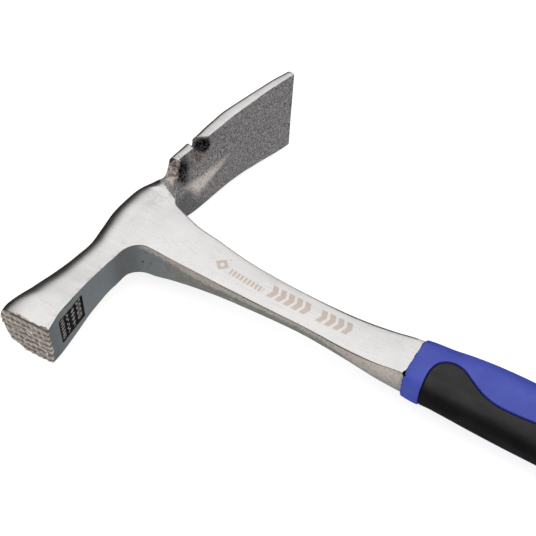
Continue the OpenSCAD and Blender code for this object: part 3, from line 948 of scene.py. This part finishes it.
class Steel(Paint):
    """The forging's material: a method for each finish, and paint(), which lays them over each other."""

    def __init__(self):
        super().__init__("forged_steel")
        self.x, self.y, self.z = self.place()
        # The finish layer's third channel borders painted shade at the shank's mouth
        self.blasted, self.sides, self.mouth_shade = self.layer("finish")
        self.face, self.groove, self.notch = self.layer("face")
        self.panel, self.marks, self.pocket = self.layer("stamp")
        # The root layer's rib and last channels border a painted highlight and painted shade
        self.shoulder, self.rib, self.rear = self.layer("root")
        self.coarse = self.noise(2.2, 4, 0.6)
        self.fine = self.noise(0.7, 3, 0.65)
        self.grain = self.noise(0.85, 3, 0.75, seed=3.0)
        self.cloud = self.noise(9.0, 3, 0.5, seed=5.0)
        self.patch = self.noise(4.5, 3, 0.6, seed=7.0)
        self.brushed = self.noise((16.0, 0.8, 0.8), 2, 0.5, seed=2.0)

    def reach(self, spot):
        """Distance from a point, or from a line along Z where the spot has only X and Y."""
        total = 0.0
        for position, middle in zip((self.x, self.y, self.z), spot):
            offset = self.add(position, -middle)
            total = self.add(self.times(offset, offset), total)
        return self.math("SQRT", total)

    def flaws(self):
        """Pits scattered over the cheeks, and forging wrinkles on the crown."""
        pits = self.times(self.specks(6.5, 0.07, seed=1.0), self.step(self.cloud, 0.5, 0.6), 0.7)
        folds = self.step(self.absolute(self.add(self.patch, -0.5)), 0.022, 0.0)
        return self.either(pits, self.times(folds, self.step(self.reach(CROWN_SPOT), 8.0, 4.0), 0.25))

    def polished(self, flaws):
        """Ground and polished cheeks with brush lines, flaws and painted shade along the back edge."""
        # Painted shade along the back edge, uneven along its length
        back_shade_cover = self.times(self.inside(self.rear, self.brushed, 1.5, soft=7.5),
                         self.step(self.patch, 0.2, 0.7, 0.65, 0.92))
        return self.coats(
            POLISHED,
            (self.step(self.cloud, 0.35, 0.75), POLISHED_DIM),
            (self.step(self.brushed, 0.55, 0.8, 0, 0.3), BRUSHED),
            (flaws, FLAW),
            (back_shade_cover, BACK_EDGE_SHADE),
        )

    def near(self, value, middle, half):
        """1 within half of the middle, with soft and slightly ragged ends."""
        gap = self.add(self.absolute(self.add(value, -middle)), self.swing(self.fine, 0.5))
        return self.step(gap, half + 0.15, half - 0.15)

    def bars(self, value, pitch, width):
        """Bars of a width at every pitch."""
        return self.near(self.math("PINGPONG", value, pitch / 2), 0.0, width / 2)

    def etching(self):
        """Plain marks along the upper cheek: a lozenge, a row of ticks and two groups of chevrons."""
        across = self.add(self.y, 0.55)
        slide = self.add(self.x, self.times(self.absolute(across), 0.40))
        groups = self.either(*(self.near(slide, middle, half) for middle, half in CHEVRON_GROUPS))
        chevrons = self.times(self.bars(self.add(slide, 1.0), 4.0, 2.6), self.near(across, 0.0, 3.3),
                              groups)
        drift = self.add(self.add(self.y, 1.8), self.times(self.add(self.x, -60.0), 0.055))
        ticks = self.times(self.bars(self.x, 1.9, 1.2), self.near(drift, 0.0, 1.5),
                           self.near(self.x, TICKS_X, 8.6))
        spread = self.add(self.absolute(self.add(self.x, -LOZENGE_X)), self.absolute(self.add(self.y, 0.3)))
        marks = self.either(chevrons, ticks, self.near(spread, 2.3, 1.05))
        return self.times(marks, self.step(self.z, 1.5, 2.5))

    def underside(self):
        """Smooth blue-grey underside with scars, painted shade in the inner corner, and darker at the face.
        """
        streak = self.noise((1.6, 1.6, 7.0), 3, 0.6, seed=9.0)
        scars = self.times(self.specks((2.7, 2.7, 4.6), 0.30, seed=4.0), self.step(self.y, -40.0, -26.0))
        # Painted shade in the inner corner where the neck meets the shank
        middle = self.step(self.absolute(self.add(self.x, -9.0)), 7.0, 1.0)
        return self.coats(
            UNDERSIDE,
            (self.step(streak, 0.48, 0.75, 0, 0.8), UNDERSIDE_BROWN),
            (self.times(scars, 0.8), SCAR),
            (self.step(self.y, -58.0, -73.0, 0, 0.35), BLAST_DARK),
            (self.times(middle, self.step(self.y, -32.0, -20.0), 0.5), CORNER_SHADE),
        )

    def skin(self):
        """Forging skin along the shank's sides: how far it covers them, and its colour."""
        level = self.step(self.x, 12.0, 50.0, 6.5, 0.8)
        level = self.add(level, self.step(self.x, 100.0, 138.0, 0.0, -5.0))
        above = self.add(self.add(self.z, self.times(level, -1.0)), self.swing(self.coarse, 4.0))
        upper = self.step(above, -0.8, 0.8)
        streak = self.noise((3.0, 0.5, 0.5), 3, 0.7, seed=6.0)
        colour = self.coats(
            SCALE_DARK,
            (upper, SCALE_BROWN),
            (self.step(self.x, 100.0, 136.0, 0, 0.75),
             self.blend(self.step(self.z, -6.0, 4.5), SCALE_AT_GRIP_LOW, SCALE_AT_GRIP_HIGH)),
            (self.step(self.grain, 0.50, 0.64, 0, 0.55), SCALE_SPECK),
            (self.step(streak, 0.55, 0.66, 0, 0.6), SCALE_STREAK),
        )
        along = self.add(self.x, self.swing(self.patch, 16.0))
        start = self.times(self.step(self.x, 11.0, 16.0), upper)
        return self.either(self.step(along, 14.0, 34.0), start), colour

    def rim(self, is_side):
        """Brown smudges on the neck's cheeks, beside the underside."""
        return self.times(
            self.inside(self.sides, self.coarse, 5.0, soft=4.0), self.outside(is_side),
            self.step(self.y, -12.0, -20.0), self.step(self.patch, 0.44, 0.60), 0.7,
        )

    def blast(self):
        """Speckled blasted steel, with a painted highlight on the rib, blue-grey painted shade low by the
        root and round the hollow, and a tan shoulder.
        """
        # Blue-grey painted shade on the lower side by the root and round the hollow, and a painted
        # highlight on the rib that fades towards its lower side
        near_root = self.step(self.add(self.y, self.times(self.z, 0.65)), 42.0, 30.0)
        valley = self.inside(self.add(self.pocket, 0.25), self.patch, 2.0, soft=4.0)
        rib = self.times(
            self.inside(self.rib, self.patch, 1.6, soft=3.2), self.step(self.y, 70.0, 44.0, 0.3, 0.95),
            self.step(self.z, -15.0, -5.0, 0.15, 1.0), self.step(self.grain, 0.28, 0.56, 0.1, 1.0),
        )
        tan = self.blend(self.step(self.coarse, 0.42, 0.58), TAN, TAN_LIGHT)
        return self.coats(
            BLAST_DARK,
            (self.step(self.grain, 0.36, 0.66), BLAST_LIGHT),
            (self.times(self.step(self.z, 7.0, 1.0), near_root, 0.5), BLUE_GREY_SHADE),
            (self.times(valley, 0.42), BLUE_GREY_SHADE),
            (rib, RIB_HIGHLIGHT),
            (self.inside(self.shoulder, self.patch, 0.6, soft=1.0), tan),
        )

    def is_blasted(self):
        """The blasted area: ragged all round, and feathered along the line where grinding stops."""
        feathered = self.inside(self.blasted, self.coarse, 1.8, soft=0.5)
        feathered = self.times(feathered, self.step(self.y, 27.0, 25.0))
        return self.either(self.inside(self.blasted, self.coarse, 0.35), feathered)

    def recess_shade(self, colour):
        """Painted shade laid in the hollow, the notch and the mouth: the colour, all of it, and its black
        part.
        """
        in_pocket = self.inside(self.pocket, self.grain, 11.0, soft=0.6)
        in_notch = self.inside(self.notch, self.grain, 2.0)
        in_mouth_shade = self.inside(self.mouth_shade, self.coarse, 1.0)
        deep = self.step(self.add(self.reach(DEEP_SHADE_SPOT), self.swing(self.grain, 6.0)), 4.5, 3.4)
        wall = self.blend(self.step(self.grain, 0.42, 0.60), SHADED_BROWN, WALL_BROWN)
        colour = self.coats(
            colour,
            (self.times(in_pocket, 0.95), self.blend(self.step(self.fine, 0.50, 0.66), BLACK_PAINT_AND_SHADE, SHADED_BROWN)),
            (in_notch, self.blend(deep, wall, BLACK_PAINT_AND_SHADE)),
            (in_mouth_shade, BLACK_PAINT_AND_SHADE),
        )
        black = self.either(in_pocket, in_mouth_shade, self.times(in_notch, deep))
        return colour, self.either(in_pocket, in_notch, in_mouth_shade), black

    def waffle(self):
        """Worn bright teeth, lighter also as a painted highlight, over rusty grooves darkened with depth as
        painted shade.
        """
        # Darker with the groove's depth, as painted shade
        worn = self.step(self.add(self.groove, self.swing(self.grain, 0.8)), 0.10, 0.80)
        rust = self.step(self.coarse, 0.55, 0.72, 0, 0.6)
        return self.coats(TOOTH_WEAR_AND_HIGHLIGHT, (worn, GROOVE_SHADE), (rust, TOOTH_RUST))

    def stamped(self):
        """Black paint in the stamped panel, and bare grey on its raised marks."""
        bare = self.inside(self.marks, self.fine, 0.8)
        bare = self.times(bare, self.step(self.fine, 0.35, 0.52, 0.35, 1.0))
        return self.blend(bare, BLACK_PAINT_AND_SHADE, MARK_GREY)

    def paint(self):
        flaws, etched = self.flaws(), self.etching()
        is_side = self.inside(self.sides, self.coarse, 0.30)
        is_skin, skin = self.skin()
        blasted = self.is_blasted()
        colour, shaded_recess, black = self.recess_shade(self.coats(
            self.polished(flaws),
            (self.times(etched, 0.85), ETCHED),
            (is_side, self.blend(is_skin, self.underside(), skin)),
            (self.rim(is_side), RUST_EDGE),
            (blasted, self.blast()),
        ))
        is_face = self.inside(self.face, self.patch, 3.0)
        in_panel = self.inside(self.panel, self.coarse, 0.3)
        colour = self.coats(colour, (is_face, self.waffle()), (in_panel, self.stamped()))

        rough = self.step(self.cloud, 0.25, 0.75, 0.22, 0.32)
        for area, value in (
            (etched, 0.42), (is_side, 0.42), (blasted, 0.50), (shaded_recess, 0.7), (is_face, 0.5), (in_panel, 0.6),
        ):
            rough = self.blend_value(area, rough, value)
        dull = self.either(blasted, shaded_recess, is_face, in_panel)
        # No clear gloss lies over the black painted shade, so it is a metal that reflects nothing
        metal = 1.0
        for area, value in ((is_side, 0.35), (dull, 0.15), (in_panel, 0.0), (shaded_recess, 0.0), (black, 1.0)):
            metal = self.blend_value(area, metal, value)

        grainy = self.either(blasted, is_face, self.times(is_side, is_skin, 0.5))
        normal = self.bump(self.brushed, 0.008)
        normal = self.bump(self.times(self.grain, grainy), 0.22, normal)
        normal = self.bump(self.times(self.cloud, self.outside(dull)), 0.05, normal)
        normal = self.bump(flaws, -0.05, normal)
        return self.finish(Base_Color=colour, Metallic=metal, Roughness=rough, Normal=normal)


def blue_plastic():
    m = Paint("grip_blue")
    cloud = m.noise(14.0, 3, 0.5)
    colour = m.blend(m.step(cloud, 0.35, 0.7), (0.036, 0.056, 0.37), (0.047, 0.072, 0.43))
    rough = m.step(m.noise(5.0, 3, 0.6, seed=2.0), 0.3, 0.7, 0.38, 0.52)
    return m.finish(Base_Color=colour, Roughness=rough, Normal=m.bump(m.noise(0.6, 2, 0.6), 0.03))


def black_rubber():
    m = Paint("grip_black")
    cloud = m.noise((12.0, 5.0, 5.0), 3, 0.6)
    colour = m.blend(m.step(cloud, 0.35, 0.7), (0.003, 0.003, 0.003), (0.010, 0.009, 0.0085))
    rough = m.step(cloud, 0.3, 0.7, 0.50, 0.36)
    return m.finish(Base_Color=colour, Roughness=rough, Normal=m.bump(m.noise(0.6, 2, 0.6), 0.03),
                    Specular_IOR_Level=0.38)


def floor_paint():
    """Pale floor that glows a little, so that it stays near white in the soft light."""
    m = Paint("floor_paint")
    mottle = m.step(m.noise(60.0, 3, 0.5), 0.3, 0.7)
    return m.finish(Base_Color=m.blend(mottle, (0.40, 0.40, 0.40), (0.42, 0.42, 0.42)), Roughness=0.9,
                    Emission_Color=(1, 1, 1), Emission_Strength=0.68)


forging.data.materials.append(Steel().paint())
core.data.materials.append(blue_plastic())
cushion.data.materials.append(black_rubber())

# ---------------------------------------------------------------- stage
CAMERA_AZIMUTH, CAMERA_ELEVATION, CAMERA_ROLL = 30.40, 48.33, 1.99  # degrees
CAMERA_DISTANCE = 0.46464
CAMERA_AIM = (58.36, 21.08, -10.11)  # millimetres from the crossing of the centre lines
LENS, SENSOR = 68.96, 36.0
FLOOR_HALF = 4.0
# Parts of the hammer that rest on the floor, in metres from the crossing of the centre lines
BLADE_FROM_Y, FACE_TO_Y, BUTT_FROM_X = 0.025, -0.04, 0.2
# Studio light from straight down, 0, to straight up, 1
STUDIO = [
    (0.0, (0.10, 0.11, 0.12)), (0.25, (0.045, 0.04, 0.038)), (0.50, (0.035, 0.03, 0.027)),
    (0.61, (0.10, 0.093, 0.09)), (0.68, (0.40, 0.40, 0.40)), (0.74, (0.78, 0.78, 0.78)),
    (0.80, (0.96, 0.96, 0.96)), (0.87, (1.0, 1.0, 1.0)), (1.0, (1.08, 1.08, 1.08)),
]


def place_camera():
    data = bpy.data.cameras.new("camera")
    data.sensor_width = SENSOR
    data.lens = LENS
    camera = link(bpy.data.objects.new("camera", data))
    camera.matrix_world = (
        Matrix.Translation(Vector(ORIGIN) + Vector(CAMERA_AIM) * MM)
        @ Matrix.Rotation(math.radians(CAMERA_AZIMUTH), 4, "Z")
        @ Matrix.Rotation(math.radians(90 - CAMERA_ELEVATION), 4, "X")
        @ Matrix.Rotation(math.radians(CAMERA_ROLL), 4, "Z")
        @ Matrix.Translation((0, 0, CAMERA_DISTANCE))
    )
    bpy.context.scene.camera = camera


def resting_plane(pieces):
    """Height at the origin and rises along X and Y of the plane that the hammer lies on.

    It touches the blade beside its root, the lower edge of the striking face and the butt.
    """
    points = np.concatenate([[tuple(v.co) for v in piece.data.vertices] for piece in pieces])
    x, y, z = points.T
    regions = [y > ORIGIN[1] + BLADE_FROM_Y, y < ORIGIN[1] + FACE_TO_Y, x > ORIGIN[0] + BUTT_FROM_X]
    plane = np.zeros(3)
    for _ in range(20):
        above = z - plane[0] - plane[1] * x - plane[2] * y
        feet = [np.flatnonzero(region)[np.argmin(above[region])] for region in regions]
        plane = np.linalg.solve(np.column_stack([np.ones(3), x[feet], y[feet]]), z[feet])
    return plane


def lay_floor():
    height, rise_x, rise_y = resting_plane((forging, core, cushion))
    corners = FLOOR_HALF * np.array([(-1, -1), (1, -1), (1, 1), (-1, 1)])
    points = [(x, y, height + rise_x * x + rise_y * y) for x, y in corners]
    mesh = bpy.data.meshes.new("floor")
    mesh.from_pydata(points, [], [(0, 1, 2, 3)])
    floor = link(bpy.data.objects.new("floor", mesh))
    floor.data.materials.append(floor_paint())
    floor.visible_glossy = False


def light_world():
    world = bpy.data.worlds.new("studio")
    bpy.context.scene.world = world
    n = Nodes(world)
    where = n.node("ShaderNodeTexCoord", {}, output="Generated")
    height = n.node("ShaderNodeSeparateXYZ", {0: where}, output="Z")
    height = n.node("ShaderNodeMapRange", {"Value": height, "From Min": -1, "From Max": 1})
    colour = n.node("ShaderNodeValToRGB", {0: height})
    stops = colour.node.color_ramp.elements
    for k, (spot, shade) in enumerate(STUDIO):
        stop = stops[k] if k < 2 else stops.new(spot)
        stop.position = spot
        stop.color = (*shade, 1)
    n.feed(n.tree.nodes["Background"].inputs["Color"], colour)


place_camera()
lay_floor()
light_world()
view = bpy.context.scene.view_settings
view.view_transform = "Standard"
view.look = "None"
view.exposure = 0.25
